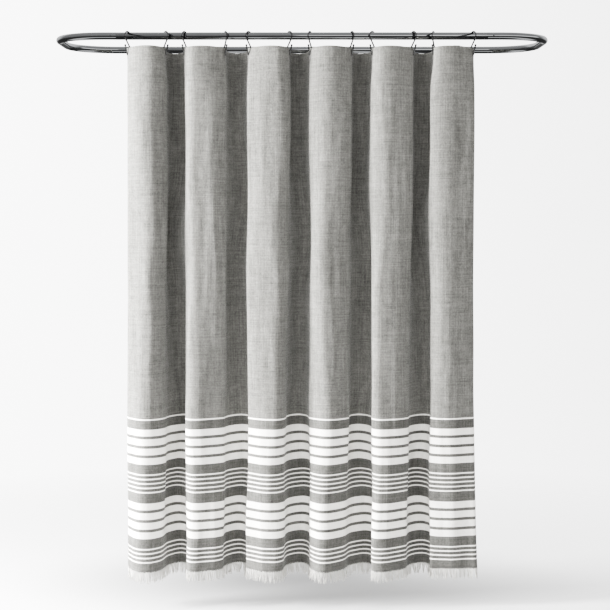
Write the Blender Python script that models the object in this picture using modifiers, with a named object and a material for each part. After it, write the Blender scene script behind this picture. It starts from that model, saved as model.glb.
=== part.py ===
"""Shower curtain: a pleated, fringed cloth hung by twelve wire hooks on an oval wall-fixed rail.

Metres, +Z up. +X runs along the rail and +Y points at the wall. The origin is on the wall plane, at the
height of the rail's centreline, midway between the two wall supports. The bather stands inside the loop.
"""
import math

import bmesh
import bpy
from mathutils import Vector

# Rail: a closed loop of bent tube with two long straight runs
TUBE_RADIUS = 0.0127
TUBE_WALL = 0.0012
RAIL_HALF_WIDTH = 0.845
RAIL_DEPTH = 0.485
REAR_RUN_Y = -0.08
FRONT_RUN_Y = REAR_RUN_Y - RAIL_DEPTH
CORNER_RADIUS = 0.17
END_LEAD = 0.045
CORNER_STEPS = 7
TUBE_SIDES = 16
RUN_HALF_LENGTH = RAIL_HALF_WIDTH - CORNER_RADIUS - END_LEAD
GAP = 0.0003

# Sleeves that join the four tubes, and their grub screws
COUPLER_LENGTH = 0.080
COUPLER_WALL = 0.0015
GRUB_RADIUS = 0.002
GRUB_LENGTH = 0.0030
GRUB_SETBACK = 0.020
SCREW_TAPER = 0.85
SCREW_SIDES = 10
SCREW_HOLE_DEPTH = 0.010
SCREW_HOLE_OVERLAP = 0.001
SCREW_HOLE_SIDES = 12

# Wall supports: a round plate, a bent arm and a collar round the rear run
SUPPORT_X = 0.57
SUPPORT_DROP = 0.055
PLATE_RADIUS = 0.030
PLATE_THICKNESS = 0.009
PLATE_RIM = 0.00405
PLATE_SHOULDER = 0.006
PLATE_SHOULDER_RADIUS = 0.0279
PLATE_FACE_RADIUS = 0.0216
ARM_RADIUS = 0.007
ARM_BEND = 0.025
ARM_BEND_STEPS = 6
ARM_SIDES = 12
COLLAR_WALL = 0.0045
COLLAR_WIDTH = 0.024
PINCH_LENGTH = 0.0045
TURNED_SIDES = 24
WALL_SCREW_OFFSET = 0.019
WALL_SCREW_RADIUS = 0.0022
WALL_SCREW_HEAD = 0.0042
WALL_SCREW_LENGTH = 0.032
WALL_SCREW_HEAD_DEPTH = 0.003
WALL_SCREW_HEAD_RIM = 0.001
WALL_SCREW_POINT = 0.006
WALL_SCREW_PROUD = 0.0002
WALL_HOLE_DEPTH = 0.050
WALL_HOLE_SIDES = 16
WALL_SCREW_SIDES = 12

# Hooks: spans between neighbours from left to right, front pleats first
FRONT_SPANS = (0.129, 0.139, 0.138, 0.142, 0.139, 0.135)
RECESS_SPANS = (0.064, 0.079, 0.070, 0.070, 0.068)
HOOK_SHIFT_X = -0.005
HOOK_WIRE = 0.0023
HOOK_SIDES = 8
HOOK_TURN = math.radians(24.0)
HOOK_TURN_SPREAD = math.radians(7.0)
HOOK_LOOP_HALF_WIDTH = 0.0185
HOOK_LOOP_HEIGHT = TUBE_RADIUS + HOOK_WIRE + GAP
HOOK_LOOP_START = 205.0
HOOK_LOOP_END = -25.0
HOOK_LOOP_STEPS = 8
HOOK_ELBOW = (-0.016, -0.0385)
HOOK_TIP = (0.0, -0.0675)
HOOK_FREE_END = (0.0145, -0.035)
HOOK_BEND = 0.003
HOOK_BALL = 0.0036
HOOK_BALL_STEPS = 4
HOOK_BALL_SWEEP = 0.93 * math.pi

# Cloth: flat width 72 in, pleated between hooks; length 72 in with its fringe
FLAT_WIDTH = 1.829
CLOTH_LENGTH = 1.785
FRINGE_LENGTH = 0.037
CLOTH_THICKNESS = 0.0012
FRONT_TOP_Z = -0.041
FRONT_RISE = 0.006
RECESS_SAG = 0.013
HEADER_DEPTH = 0.055
SIDE_HEM = 0.012
HOLE_SPACING = 0.160
SETTLE_DEPTH = 0.25
FREE_TURN = math.radians(64.0)
FLAP_TURN = math.radians(88.0)
FLAP_BEND = 0.012
PANEL_STEPS = 8
LINE_STEPS = 24
BODY_ROWS = (0.13, 0.24, 0.70, 1.25)

# Buttonholes: upright worked slots, hung on the lowest point of the hooks
SLOT_HALF_WIDTH = 0.0036
SLOT_STRAIGHT = 0.014
STITCH_WIDTH = 0.0024
STITCH_THICKNESS = 0.0014
HEADER_HOLE_MARGIN = 0.0004
HEADER_HOLE_DEPTH = 0.020
ARC_STEPS = 5

HOOK_COUNT = len(FRONT_SPANS) + len(RECESS_SPANS) + 1
FLAP = (FLAT_WIDTH - HOLE_SPACING * (HOOK_COUNT - 1)) / 2.0
FLAP_STEPS = 6
FLAP_STEP = FLAP / FLAP_STEPS


def clear_scene():
    for item in list(bpy.data.objects):
        bpy.data.objects.remove(item, do_unlink=True)


def make_collection(name):
    collection = bpy.data.collections.new(name)
    bpy.context.scene.collection.children.link(collection)
    return collection


def make_material(name, color, metallic, roughness):
    material = bpy.data.materials.new(name)
    material.use_nodes = True
    shader = material.node_tree.nodes["Principled BSDF"]
    shader.inputs["Base Color"].default_value = (*color, 1.0)
    shader.inputs["Metallic"].default_value = metallic
    shader.inputs["Roughness"].default_value = roughness
    return material


def add_object(name, data, material, collection):
    item = bpy.data.objects.new(name, data)
    if not data.materials:
        data.materials.append(material)
    collection.objects.link(item)
    return item


def make_cutter(name, data):
    cutter = bpy.data.objects.new(name, data)
    cutters.objects.link(cutter)
    cutter.hide_render = True
    cutter.display_type = "WIRE"
    return cutter


def cut(item, cutter):
    modifier = item.modifiers.new("cut " + cutter.name, "BOOLEAN")
    modifier.operation = "DIFFERENCE"
    modifier.object = cutter


def smooth(mesh):
    mesh.shade_smooth()
    mesh.set_sharp_from_angle(angle=math.radians(35.0))


def path_curve(name, points, radius, sides, caps, swell=None):
    """A round tube or wire along a polyline; swell scales the radius point by point."""
    curve = bpy.data.curves.new(name, "CURVE")
    curve.dimensions = "3D"
    curve.bevel_depth = radius
    curve.bevel_resolution = sides // 2 - 2
    curve.use_fill_caps = caps
    spline = curve.splines.new("POLY")
    spline.points.add(len(points) - 1)
    for index, point in enumerate(points):
        spline.points[index].co = (*point, 1.0)
        spline.points[index].radius = swell[index] if swell else 1.0
    return curve


def curve_to_mesh(name, curve):
    """The welded mesh of a curve, so that it can take modifiers."""
    holder = bpy.data.objects.new(name, curve)
    bpy.context.scene.collection.objects.link(holder)
    evaluated = holder.evaluated_get(bpy.context.evaluated_depsgraph_get())
    mesh = bpy.data.meshes.new_from_object(evaluated)
    bpy.data.objects.remove(holder, do_unlink=True)
    bm = bmesh.new()
    bm.from_mesh(mesh)
    bmesh.ops.remove_doubles(bm, verts=bm.verts, dist=1e-6)
    bm.to_mesh(mesh)
    bm.free()
    mesh.name = name
    return mesh


def hollow_tube(name, points, material, radius=TUBE_RADIUS, wall=TUBE_WALL, sides=TUBE_SIDES):
    mesh = curve_to_mesh(name, path_curve(name, points, radius, sides, False))
    smooth(mesh)
    tube = add_object(name, mesh, material, parts)
    shell = tube.modifiers.new("wall", "SOLIDIFY")
    shell.thickness = wall
    shell.offset = -1.0
    return tube


def cone_mesh(name, low_radius, high_radius, length, sides):
    """A capped cone or cylinder along +Z, from z = 0."""
    mesh = bpy.data.meshes.new(name)
    bm = bmesh.new()
    bmesh.ops.create_cone(
        bm, cap_ends=True, segments=sides, radius1=low_radius, radius2=high_radius, depth=length
    )
    bmesh.ops.translate(bm, verts=bm.verts, vec=(0.0, 0.0, length / 2.0))
    bm.to_mesh(mesh)
    bm.free()
    return mesh


def turned(name, profile, closed, sides, material):
    """A profile in the XZ plane turned about Z; an open profile starts and ends on the axis."""
    mesh = bpy.data.meshes.new(name)
    bm = bmesh.new()
    corners = [bm.verts.new((radius, 0.0, height)) for radius, height in profile]
    for first, second in zip(corners, corners[1:]):
        bm.edges.new((first, second))
    if closed:
        bm.edges.new((corners[-1], corners[0]))
    bm.to_mesh(mesh)
    bm.free()
    item = add_object(name, mesh, material, parts)
    screw = item.modifiers.new("turn", "SCREW")
    screw.steps = sides
    screw.render_steps = sides
    screw.use_merge_vertices = True
    screw.merge_threshold = 1e-5
    return item


def point_along(item, direction):
    """Turns an object so that its local +Z points along the direction."""
    item.rotation_euler = Vector(direction).to_track_quat("Z", "Y").to_euler()


def arc(center, radius, start, end, steps):
    """Points of an arc in the XY plane; angles in degrees."""
    angles = [math.radians(start + (end - start) * step / steps) for step in range(steps + 1)]
    return [(center[0] + radius * math.cos(a), center[1] + radius * math.sin(a), 0.0) for a in angles]


def end_path(side):
    """Centreline of one bent end, from the front joint round to the rear joint."""
    joint_x = RUN_HALF_LENGTH + GAP / 2.0
    corner_x = RAIL_HALF_WIDTH - CORNER_RADIUS
    front = arc((corner_x, FRONT_RUN_Y + CORNER_RADIUS), CORNER_RADIUS, -90.0, 0.0, CORNER_STEPS)
    rear = arc((corner_x, REAR_RUN_Y - CORNER_RADIUS), CORNER_RADIUS, 0.0, 90.0, CORNER_STEPS)
    points = [(joint_x, FRONT_RUN_Y, 0.0)] + front + rear + [(joint_x, REAR_RUN_Y, 0.0)]
    return [(side * x, y, z) for x, y, z in points]


def build_rail():
    half = RUN_HALF_LENGTH - GAP / 2.0
    hollow_tube("rail_front_run", [(-half, FRONT_RUN_Y, 0.0), (half, FRONT_RUN_Y, 0.0)], chrome)
    hollow_tube("rail_rear_run", [(-half, REAR_RUN_Y, 0.0), (half, REAR_RUN_Y, 0.0)], chrome)
    for side_name, side in (("left", -1.0), ("right", 1.0)):
        bend = hollow_tube("rail_" + side_name + "_end", end_path(side), chrome)
        for run_name, run_y, outward in (("front", FRONT_RUN_Y, -1.0), ("rear", REAR_RUN_Y, 1.0)):
            build_joint(bend, side_name + "_" + run_name, side, run_y, outward)


def build_joint(bend, place, side, run_y, outward):
    """The sleeve inside one tube joint, and the grub screw that holds it in the bent end."""
    joint_x = side * RUN_HALF_LENGTH
    reach = COUPLER_LENGTH / 2.0
    sleeve_radius = TUBE_RADIUS - TUBE_WALL - GAP
    ends = [(joint_x - reach, run_y, 0.0), (joint_x + reach, run_y, 0.0)]
    hollow_tube("rail_sleeve_" + place, ends, steel, sleeve_radius, COUPLER_WALL)
    screw_x = joint_x + side * GRUB_SETBACK
    seat = sleeve_radius + GAP
    build_small_screw(bend, "rail_screw_" + place, (screw_x, run_y + outward * seat), outward, GRUB_LENGTH)


def build_small_screw(item, name, seat, outward, length):
    """A headless screw that stands on its seat, an X and Y in the rail's plane, in a hole through the item."""
    bore = GRUB_RADIUS + GAP
    hole = make_cutter(name + "_hole", cone_mesh("hole", bore, bore, SCREW_HOLE_DEPTH, SCREW_HOLE_SIDES))
    hole.location = (seat[0], seat[1] - outward * SCREW_HOLE_OVERLAP, 0.0)
    point_along(hole, (0.0, outward, 0.0))
    cut(item, hole)
    mesh = cone_mesh(name, GRUB_RADIUS, GRUB_RADIUS * SCREW_TAPER, length, SCREW_SIDES)
    screw = add_object(name, mesh, steel, parts)
    screw.location = (*seat, 0.0)
    point_along(screw, (0.0, outward, 0.0))


def build_support(side_name, side):
    """One wall support: plate, two wall screws, arm, and collar with its pinch screw."""
    x = side * SUPPORT_X
    wall_point = Vector((x, 0.0, -SUPPORT_DROP))
    profile = [(0.0, PLATE_THICKNESS), (PLATE_FACE_RADIUS, PLATE_THICKNESS)]
    profile += [(PLATE_SHOULDER_RADIUS, PLATE_SHOULDER), (PLATE_RADIUS, PLATE_RIM), (PLATE_RADIUS, 0.0), (0.0, 0.0)]
    plate = turned("wall_plate_" + side_name, profile, False, TURNED_SIDES, chrome)
    plate.location = wall_point
    point_along(plate, (0.0, -1.0, 0.0))
    for place, lateral in (("inner", -side), ("outer", side)):
        build_wall_screw(plate, side_name + "_" + place, wall_point.x + lateral * WALL_SCREW_OFFSET)

    corner = (REAR_RUN_Y + ARM_BEND, -SUPPORT_DROP + ARM_BEND)
    collar_outer = TUBE_RADIUS + GAP + COLLAR_WALL
    bend = arc(corner, ARM_BEND, 270.0, 180.0, ARM_BEND_STEPS)
    start = (-PLATE_THICKNESS - GAP, -SUPPORT_DROP)
    arm_line = [start] + [(y, z) for y, z, _ in bend] + [(REAR_RUN_Y, -collar_outer - GAP)]
    arm_points = [(x, y, z) for y, z in arm_line]
    arm = path_curve("arm", arm_points, ARM_RADIUS, ARM_SIDES, True)
    add_object("support_arm_" + side_name, arm, chrome, parts)

    inner = TUBE_RADIUS + GAP
    half = COLLAR_WIDTH / 2.0
    ring = [(inner, half), (collar_outer, half), (collar_outer, -half), (inner, -half)]
    collar = turned("rail_collar_" + side_name, ring, True, TURNED_SIDES, chrome)
    collar.location = (x, REAR_RUN_Y, 0.0)
    point_along(collar, (1.0, 0.0, 0.0))
    build_small_screw(collar, "collar_screw_" + side_name, (x, REAR_RUN_Y + inner), 1.0, PINCH_LENGTH)


def build_wall_screw(plate, place, x):
    """A countersunk screw through the plate, pointing into the wall."""
    head_y = -PLATE_THICKNESS - WALL_SCREW_PROUD
    bore = WALL_SCREW_HEAD + GAP
    hole = make_cutter("wall_hole_" + place, cone_mesh("hole", bore, bore, WALL_HOLE_DEPTH, WALL_HOLE_SIDES))
    hole.location = (x, -WALL_HOLE_DEPTH / 2.0, -SUPPORT_DROP)
    point_along(hole, (0.0, 1.0, 0.0))
    cut(plate, hole)
    top = WALL_SCREW_LENGTH
    profile = [(0.0, top), (WALL_SCREW_HEAD, top), (WALL_SCREW_HEAD, top - WALL_SCREW_HEAD_RIM)]
    profile += [(WALL_SCREW_RADIUS, top - WALL_SCREW_HEAD_DEPTH), (WALL_SCREW_RADIUS, WALL_SCREW_POINT)]
    profile += [(0.0, 0.0)]
    screw = turned("wall_screw_" + place, profile, False, WALL_SCREW_SIDES, steel)
    screw.location = (x, head_y + WALL_SCREW_LENGTH, -SUPPORT_DROP)
    point_along(screw, (0.0, -1.0, 0.0))


def round_corner(before, corner, after, radius, steps):
    """Points of the arc that rounds one corner of a flat path."""
    corner = Vector(corner)
    first = (Vector(before) - corner).normalized()
    second = (Vector(after) - corner).normalized()
    half_angle = first.angle(second) / 2.0
    reach = radius / math.tan(half_angle)
    center = corner + (first + second).normalized() * radius / math.sin(half_angle)
    begin = corner + first * reach - center
    finish = corner + second * reach - center
    sweep = begin.angle_signed(finish)
    points = []
    for step in range(steps + 1):
        angle = -sweep * step / steps
        turned_x = begin.x * math.cos(angle) - begin.y * math.sin(angle)
        turned_y = begin.x * math.sin(angle) + begin.y * math.cos(angle)
        points.append((center.x + turned_x, center.y + turned_y))
    return points


def hook_outline():
    """The hook in its own plane: distance towards the front, and height above the rail's centreline."""
    loop = []
    for step in range(HOOK_LOOP_STEPS + 1):
        angle = HOOK_LOOP_START + (HOOK_LOOP_END - HOOK_LOOP_START) * step / HOOK_LOOP_STEPS
        angle = math.radians(angle)
        loop.append((HOOK_LOOP_HALF_WIDTH * math.cos(angle), HOOK_LOOP_HEIGHT * math.sin(angle)))
    elbow = round_corner(loop[-1], HOOK_ELBOW, HOOK_TIP, HOOK_BEND, 3)
    tip = round_corner(HOOK_ELBOW, HOOK_TIP, HOOK_FREE_END, HOOK_BEND, 5)
    return loop + elbow + tip + [HOOK_FREE_END]


def hook_curve():
    """The hook's wire, which ends in a small ball."""
    outline = hook_outline()
    swell = [1.0] * len(outline)
    last = Vector(outline[-1])
    direction = (last - Vector(outline[-2])).normalized()
    neck = math.asin(HOOK_WIRE / HOOK_BALL)
    for step in range(1, HOOK_BALL_STEPS + 1):
        angle = neck + (HOOK_BALL_SWEEP - neck) * step / HOOK_BALL_STEPS
        along = HOOK_BALL * (math.cos(neck) - math.cos(angle))
        point = last + direction * along
        outline.append((point.x, point.y))
        swell.append(HOOK_BALL * math.sin(angle) / HOOK_WIRE)
    points = [(0.0, -forward, up) for forward, up in outline]
    return path_curve("hook", points, HOOK_WIRE, HOOK_SIDES, True, swell)


def hook_positions():
    """X of the hooks, from left to right."""
    spans = []
    for index, front in enumerate(FRONT_SPANS):
        spans.append(front)
        if index < len(RECESS_SPANS):
            spans.append(RECESS_SPANS[index])
    xs = [HOOK_SHIFT_X - sum(spans) / 2.0]
    for span in spans:
        xs.append(xs[-1] + span)
    return xs


def hook_turn(index):
    """How far a hook's plane is turned towards its own front pleat."""
    return HOOK_TURN + HOOK_TURN_SPREAD * math.sin(1.7 * index)


def build_hooks():
    wire = hook_curve()
    for index, x in enumerate(hook_positions()):
        hook = add_object(f"hook_{index + 1:02d}", wire, hook_metal, parts)
        hook.location = (x, FRONT_RUN_Y, 0.0)
        hook.rotation_euler = (0.0, 0.0, hook_turn(index) * (-1.0 if index % 2 == 0 else 1.0))


def ease(value):
    value = min(max(value, 0.0), 1.0)
    return value * value * (3.0 - 2.0 * value)


def panel_turns(start, end, swing):
    """Turning angle of the cloth at the middle of each step of a panel between two hooks."""
    turns = []
    for step in range(LINE_STEPS):
        t = (step + 0.5) / LINE_STEPS
        share = 0.5 * (1.0 + math.cos(math.pi * t))
        turns.append(start * share - end * (1.0 - share) + swing * math.sin(2.0 * math.pi * t))
    return turns


def solve_swing(span, start, end):
    """The swing with which a panel of cloth just spans the distance between its hooks."""
    low, high = -0.6 * min(start, end), 2.3
    for _ in range(40):
        middle = (low + high) / 2.0
        turns = panel_turns(start, end, middle)
        reach = sum(math.cos(turn) for turn in turns) * HOLE_SPACING / LINE_STEPS
        if reach > span:
            low = middle
        else:
            high = middle
    return low


def flap_turns(start):
    """Turning angles of a side flap, which bends back behind its hook, from the hook outwards."""
    middles = [(step + 0.5) * FLAP_STEP for step in range(FLAP_STEPS)]
    return [start + (FLAP_TURN - start) * ease(middle / FLAP_BEND) for middle in middles]


def fold_line(depth):
    """The cloth's line seen from above, at a depth below its top edge: flat distances and points."""
    below = max(depth - HEADER_DEPTH, 0.0)
    settled = ease(below / SETTLE_DEPTH)
    xs = hook_positions()
    turns = [hook_turn(i) * (1.0 - settled) + FREE_TURN * settled for i in range(HOOK_COUNT)]
    step = HOLE_SPACING / LINE_STEPS
    flats, points = [FLAP], [(xs[0], 0.0)]
    for index in range(HOOK_COUNT - 1):
        forward = -1.0 if index % 2 == 0 else 1.0
        swing = solve_swing(xs[index + 1] - xs[index], turns[index], turns[index + 1])
        angles = panel_turns(turns[index], turns[index + 1], swing)
        drift = sum(math.sin(angle) for angle in angles) * forward / LINE_STEPS
        for angle in angles:
            x, y = points[-1]
            points.append((x + step * math.cos(angle), y + step * (forward * math.sin(angle) - drift)))
            flats.append(flats[-1] + step)
    for turn in flap_turns(turns[-1]):
        x, y = points[-1]
        points.append((x + FLAP_STEP * math.cos(turn), y + FLAP_STEP * math.sin(turn)))
        flats.append(flats[-1] + FLAP_STEP)
    for turn in flap_turns(turns[0]):
        x, y = points[0]
        points.insert(0, (x - FLAP_STEP * math.cos(turn), y + FLAP_STEP * math.sin(turn)))
        flats.insert(0, flats[0] - FLAP_STEP)
    balance = sum(y for _, y in points) / len(points) * settled
    points = [(x, y + FRONT_RUN_Y - balance) for x, y in points]
    return flats, points


def sample_line(line, flat):
    """The point of a fold line at a flat distance from the cloth's left edge."""
    flats, points = line
    index = 0
    while index < len(flats) - 2 and flats[index + 1] < flat:
        index += 1
    share = (flat - flats[index]) / (flats[index + 1] - flats[index])
    (x0, y0), (x1, y1) = points[index], points[index + 1]
    return x0 + (x1 - x0) * share, y0 + (y1 - y0) * share


def edge_offset(flat, depth):
    """How far the cloth stands above or sags below its level at the hooks."""
    panel, share = divmod((flat - FLAP) / HOLE_SPACING, 1.0)
    inside = 0 <= panel < HOOK_COUNT - 1
    height = FRONT_RISE if panel % 2 == 0 else -RECESS_SAG
    arch = math.sin(math.pi * share) if inside else 0.0
    return height * arch * math.exp(-depth / SETTLE_DEPTH)


def panel_flats():
    """Flat distances of the cloth's columns, closer together near the hooks."""
    flats = []
    for panel in range(HOOK_COUNT - 1):
        for step in range(PANEL_STEPS):
            share = (1.0 - math.cos(math.pi * step / PANEL_STEPS)) / 2.0
            flats.append(FLAP + HOLE_SPACING * (panel + share))
    return flats + [FLAT_WIDTH - FLAP]


def sheet(name, flats, depths, material):
    """A piece of the cloth: a loft through its fold lines, thickened about its middle."""
    rows = []
    mesh = bpy.data.meshes.new(name)
    bm = bmesh.new()
    for depth in depths:
        line = fold_line(depth)
        row = []
        for flat in flats:
            x, y = sample_line(line, flat)
            row.append(bm.verts.new((x, y, FRONT_TOP_Z - depth + edge_offset(flat, depth))))
        rows.append(row)
    for upper, lower in zip(rows, rows[1:]):
        for index in range(len(flats) - 1):
            bm.faces.new((upper[index], lower[index], lower[index + 1], upper[index + 1]))
    bm.to_mesh(mesh)
    bm.free()
    smooth(mesh)
    item = add_object(name, mesh, material, parts)
    shell = item.modifiers.new("thickness", "SOLIDIFY")
    shell.thickness = CLOTH_THICKNESS
    shell.offset = 0.0
    return item


def slot_outline(half_width):
    """An upright slot with round ends, about the middle of its upper end."""
    points = []
    for start, level in ((0.0, 0.0), (180.0, -SLOT_STRAIGHT)):
        for step in range(ARC_STEPS + 1):
            angle = math.radians(start + 180.0 * step / ARC_STEPS)
            points.append((half_width * math.cos(angle), level + half_width * math.sin(angle)))
    return points


def flat_curve(name, outlines, thickness):
    curve = bpy.data.curves.new(name, "CURVE")
    curve.dimensions = "2D"
    curve.fill_mode = "BOTH"
    curve.extrude = thickness / 2.0
    for outline in outlines:
        spline = curve.splines.new("POLY")
        spline.points.add(len(outline) - 1)
        for index, (x, y) in enumerate(outline):
            spline.points[index].co = (x, y, 0.0, 1.0)
        spline.use_cyclic_u = True
    return curve


def tip_height():
    """Height of the wire's centre at the lowest point of a hook."""
    return min(up for _, up in hook_outline())


def build_buttonholes(header):
    stitch_outer = SLOT_HALF_WIDTH + STITCH_WIDTH
    outlines = [slot_outline(stitch_outer), slot_outline(SLOT_HALF_WIDTH)]
    ring = flat_curve("buttonhole", outlines, STITCH_THICKNESS)
    hole_outline = [slot_outline(stitch_outer + HEADER_HOLE_MARGIN)]
    hole_mesh = curve_to_mesh("header_hole", flat_curve("header_hole", hole_outline, HEADER_HOLE_DEPTH))
    for index, x in enumerate(hook_positions()):
        turn = hook_turn(index) * (-1.0 if index % 2 == 0 else 1.0)
        place = (x, FRONT_RUN_Y, tip_height())
        button = add_object(f"buttonhole_{index + 1:02d}", ring, thread, parts)
        cutter = make_cutter(f"header_hole_{index + 1:02d}", hole_mesh)
        for item in (button, cutter):
            item.location = place
            item.rotation_euler = (math.pi / 2.0, 0.0, turn)
        cut(header, cutter)


def build_cloth():
    columns = panel_flats()
    left_edge, right_edge = SIDE_HEM + GAP, FLAT_WIDTH - SIDE_HEM - GAP
    body_top, body_end = HEADER_DEPTH + GAP, CLOTH_LENGTH
    body_depths = (body_top,) + BODY_ROWS + (body_end,)
    header = sheet("header_hem", [0.0, SIDE_HEM] + columns + [FLAT_WIDTH], (0.0, HEADER_DEPTH), grey_cloth)
    sheet("curtain_panel", [left_edge] + columns + [right_edge], body_depths, grey_cloth)
    sheet("side_hem_left", [0.0, SIDE_HEM], body_depths, grey_cloth)
    sheet("side_hem_right", [FLAT_WIDTH - SIDE_HEM, FLAT_WIDTH], body_depths, grey_cloth)
    fringe_depths = (CLOTH_LENGTH + GAP, CLOTH_LENGTH + FRINGE_LENGTH)
    sheet("fringe", [0.0, SIDE_HEM] + columns + [right_edge, FLAT_WIDTH], fringe_depths, white_yarn)
    build_buttonholes(header)


clear_scene()
parts = make_collection("shower_curtain")
cutters = make_collection("cutters")
chrome = make_material("rail chrome", (0.62, 0.63, 0.64), 1.0, 0.08)
hook_metal = make_material("hook chrome", (0.55, 0.55, 0.56), 1.0, 0.16)
steel = make_material("fastener steel", (0.42, 0.42, 0.43), 1.0, 0.30)
grey_cloth = make_material("grey woven cloth", (0.30, 0.30, 0.29), 0.0, 0.92)
white_yarn = make_material("white yarn", (0.86, 0.85, 0.81), 0.0, 0.90)
thread = make_material("stitching thread", (0.40, 0.40, 0.39), 0.0, 0.85)
build_rail()
for support_name, support_side in (("left", -1.0), ("right", 1.0)):
    build_support(support_name, support_side)
build_hooks()
build_cloth()
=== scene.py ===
"""Looks of the shower curtain: linen-like striped cloth, yarn fringe, wire hooks and an oval chrome rail.

Metres, +Z up, in the CAD model's frame: +X along the rail, +Y at the wall, origin on the wall plane.
"""
import math

import bmesh
import bpy
import numpy as np
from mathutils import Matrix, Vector


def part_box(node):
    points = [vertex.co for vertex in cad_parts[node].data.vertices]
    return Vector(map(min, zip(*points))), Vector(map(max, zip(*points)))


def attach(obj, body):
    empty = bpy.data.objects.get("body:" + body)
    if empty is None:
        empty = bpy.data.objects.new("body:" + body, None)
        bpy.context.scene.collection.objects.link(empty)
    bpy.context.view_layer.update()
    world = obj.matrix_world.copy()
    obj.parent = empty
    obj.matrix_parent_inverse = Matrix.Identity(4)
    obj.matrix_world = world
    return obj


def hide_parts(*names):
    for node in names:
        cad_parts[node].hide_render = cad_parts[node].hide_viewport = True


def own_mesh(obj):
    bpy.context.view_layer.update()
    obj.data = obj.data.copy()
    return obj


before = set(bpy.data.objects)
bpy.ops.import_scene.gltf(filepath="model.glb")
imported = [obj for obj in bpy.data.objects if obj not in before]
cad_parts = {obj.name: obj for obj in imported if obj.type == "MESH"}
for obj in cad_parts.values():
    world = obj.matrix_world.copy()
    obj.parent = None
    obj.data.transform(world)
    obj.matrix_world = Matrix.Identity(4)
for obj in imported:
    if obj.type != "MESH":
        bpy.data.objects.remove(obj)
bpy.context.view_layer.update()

HOOK_COUNT = 12
HOOK_NAMES = [f"hook_{index + 1:02d}" for index in range(HOOK_COUNT)]
BUTTONHOLE_NAMES = [f"buttonhole_{index + 1:02d}" for index in range(HOOK_COUNT)]


def centre(node):
    low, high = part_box(node)
    return (low + high) / 2.0


def size(node):
    low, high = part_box(node)
    return high - low


# Rail, read from the frame
TUBE_RADIUS = size("rail_front_run").z / 2.0
TUBE_WALL = 0.0012
FRONT_RUN_Y = centre("rail_front_run").y
REAR_RUN_Y = centre("rail_rear_run").y
RUN_HALF = size("rail_front_run").x / 2.0
END_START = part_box("rail_right_end")[0].x
RAIL_HALF_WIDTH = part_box("rail_right_end")[1].x - TUBE_RADIUS
CORNER_RADIUS = 0.17
CORNER_STEPS = 28
TUBE_SIDES = 64
SCREW_HOLE_RADIUS = 0.0023
SCREW_HOLE_DEPTH = 0.01
# Where the drill starts: before a grub screw's middle, and inside a collar's bore
TUBE_HOLE_START = 0.0035
COLLAR_HOLE_START = 0.002

# Wall supports, read from the frame
ARM_RADIUS = size("support_arm_left").x / 2.0
ARM_BEND = 0.025
ARM_SIDES = 40
PLATE_RADIUS = size("wall_plate_left").x / 2.0
PLATE_THICKNESS = size("wall_plate_left").y
COLLAR_WIDTH = size("rail_collar_left").x
COLLAR_OUTER = size("rail_collar_left").z / 2.0
COLLAR_INNER = TUBE_RADIUS + 0.0003
PLATE_HOLE_GAP = 0.0003
# The plate's holes go right through: where in Y their cutter starts, and its length
PLATE_HOLE_START = -0.02
PLATE_HOLE_LENGTH = 0.05
TURNED_STEPS = 72

# Hooks, read from the frame where it has them
HOOK_XS = np.array([centre(name).x for name in BUTTONHOLE_NAMES])
HOOK_WIRE = 0.0023
HOOK_GAP = 0.0003
HOOK_TURN = math.radians(24.0)
HOOK_TURN_SPREAD = math.radians(7.0)
HOOK_LOOP_HALF_WIDTH = 0.0185
HOOK_LOOP_START = 205.0
HOOK_LOOP_END = -25.0
HOOK_ELBOW = (-0.016, -0.0385)
HOOK_TIP = (0.0, -0.0675)
HOOK_FREE_END = (0.0145, -0.035)
HOOK_BEND = 0.003
HOOK_BALL = 0.0036
HOOK_SIDES = 20

# Cloth
FLAT_WIDTH = 1.829
CLOTH_LENGTH = 1.785
HOLE_SPACING = 0.160
FLAP = (FLAT_WIDTH - HOLE_SPACING * (HOOK_COUNT - 1)) / 2.0
CLOTH_THICKNESS = 0.0008
HEM_THICKNESS = CLOTH_THICKNESS * 0.95
FRONT_TOP_Z = -0.041
FRONT_RISE = 0.006
RECESS_SAG = 0.013
HEADER_DEPTH = 0.055
SIDE_HEM = 0.012
SIDE_HEM_COLUMNS = 6
SETTLE_START = 0.030
SETTLE_DEPTH = 0.11
ARCH_DEPTH = 0.25
LAYER_STEP = 0.00095

# How the pleats fall: the share of each panel before its crest, and how its turn grows towards the hooks
CREST_SHARES = (0.55, 0.31, 0.64, 0.44, 0.33, 0.29)
RECESS_SHARE = 0.49
HEM_RECESS_SHARE = 0.54
CREST_WANDER = 0.04
FRONT_POWER = 0.85
RECESS_POWER = 0.70
FOLD_ROUNDING = 0.0045
SHIFT_WANDER = 0.0025
EDGE_SHIFTS = (-0.001, 0.007, 0.0, 0.006, -0.004, 0.003, 0.0, 0.0, -0.004, -0.001, -0.011, 0.002)
HEM_SHIFTS = (-0.004, -0.018, 0.004, -0.018, -0.002, -0.026, 0.0, -0.020, 0.007, -0.022, 0.004, 0.0)
LAST_EDGE_FLARE = 0.015
FOLD_RISE = 0.14
FLAP_TURN = math.radians(88.0)
WRINKLE_HEIGHT = 0.0016
CREASE_HEIGHT = 0.0005
SOFT_WAVES = 10
FINE_CREASES = 12
FINE_STEPS = 100
FINE_STEP = HOLE_SPACING / FINE_STEPS
FLAP_STEPS = round(FLAP / FINE_STEP)
PANELS = slice(FLAP_STEPS, FLAP_STEPS + FINE_STEPS * (HOOK_COUNT - 1))
# Solving the turns, in radians: the first guesses for wide and for narrow panels, the limits, and each round's share
WIDE_PANEL = 0.7
FIRST_TURNS = (0.8, 1.9)
TURN_LIMITS = (0.05, 2.5)
TURN_SHARE = 0.7
TURN_ROUNDS = 14
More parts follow.
